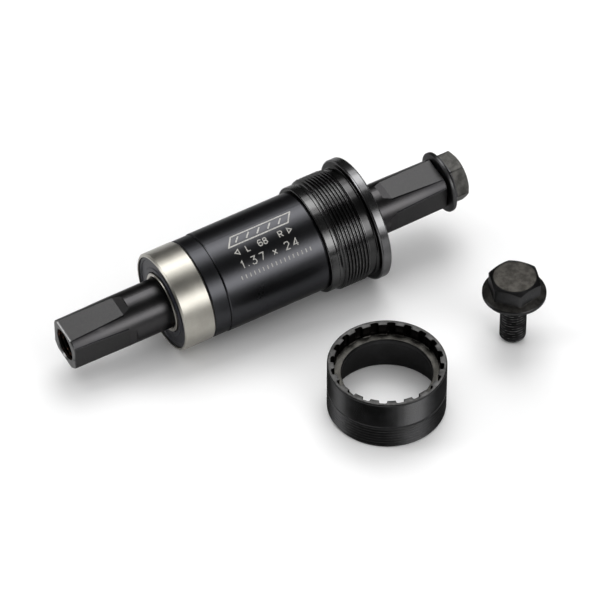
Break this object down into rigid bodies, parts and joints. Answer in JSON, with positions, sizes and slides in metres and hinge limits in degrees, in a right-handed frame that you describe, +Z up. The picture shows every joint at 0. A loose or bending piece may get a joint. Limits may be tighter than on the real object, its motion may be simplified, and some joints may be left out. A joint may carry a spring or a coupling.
{
  "type": "bottom bracket",
  "caption": "Square-taper cartridge bottom bracket with threaded drive-side cup and fitted crank bolt, loose left cup and loose crank bolt beside it.",
  "frame": {"origin": "on the surface the set lies on, under the middle of the whole set", "axes": "+Z up; +X towards the drive side, along the lying cartridge (whose own axis rises 3.31 degrees towards +X because it rests on its flange and its left bearing); the loose cup and bolt are on the -Y side"},
  "size_m": [0.1329, 0.0916, 0.0381],
  "materials": {
    "black_cup": "black coated steel, satin",
    "black_sleeve": "black painted steel, glossy",
    "black_oxide": "black oxide steel, semi-gloss",
    "black_bolt": "black oxide steel, satin",
    "collar": "black nylon, satin",
    "bearing_steel": "ground bearing steel",
    "ball_steel": "polished",
    "seal_rubber": "moulded nitrile rubber",
    "cage_steel": "pressed steel strip"
  },
  "bodies": {
    "cartridge": {"right_cup": "black_cup", "cartridge_tube": "black_sleeve", "end_collar": "collar", "left_outer_race": "bearing_steel", "right_outer_race": "bearing_steel", "left_outboard_seal": "seal_rubber", "left_inboard_seal": "seal_rubber", "right_outboard_seal": "seal_rubber", "right_inboard_seal": "seal_rubber"},
    "spindle": {"spindle": "black_oxide", "left_inner_race": "bearing_steel", "right_inner_race": "bearing_steel"},
    "left_cage": {"left_balls": "ball_steel", "left_cage_outer_half": "cage_steel", "left_cage_inner_half": "cage_steel", "left_cage_rivets": "cage_steel"},
    "right_cage": {"right_balls": "ball_steel", "right_cage_outer_half": "cage_steel", "right_cage_inner_half": "cage_steel", "right_cage_rivets": "cage_steel"},
    "right_bolt": {"right_crank_bolt": "black_bolt"},
    "left_bolt": {"left_crank_bolt": "black_bolt"},
    "left_cup": {"left_cup": "black_cup"}
  },
  "joints": [
    {"name": "spindle_spin", "type": "hinge", "parent": "cartridge", "child": "spindle", "pos_m": [-0.00444, 0.02671, 0.01701], "axis": [0.9983, 0, 0.0578], "continuous": true},
    {"name": "left_cage_spin", "type": "hinge", "parent": "cartridge", "child": "left_cage", "pos_m": [-0.00444, 0.02671, 0.01701], "axis": [0.9983, 0, 0.0578], "continuous": true},
    {"name": "right_cage_spin", "type": "hinge", "parent": "cartridge", "child": "right_cage", "pos_m": [-0.00444, 0.02671, 0.01701], "axis": [0.9983, 0, 0.0578], "continuous": true},
    {"name": "right_bolt_draw", "type": "slide", "parent": "spindle", "child": "right_bolt", "axis": [0.9983, 0, 0.0578], "range_m": [0, 0.024]},
    {"name": "left_cup_lift", "type": "slide", "parent": "cartridge", "child": "left_cup", "axis": [0, 0, 1], "range_m": [0, 0.045]},
    {"name": "left_bolt_lift", "type": "slide", "parent": "cartridge", "child": "left_bolt", "axis": [0, 0, 1], "range_m": [0, 0.045]}
  ],
  "couplings": [
    {"joint": "left_cage_spin", "follows": "spindle_spin", "ratio": 0.39868},
    {"joint": "right_cage_spin", "follows": "spindle_spin", "ratio": 0.39868}
  ]
}
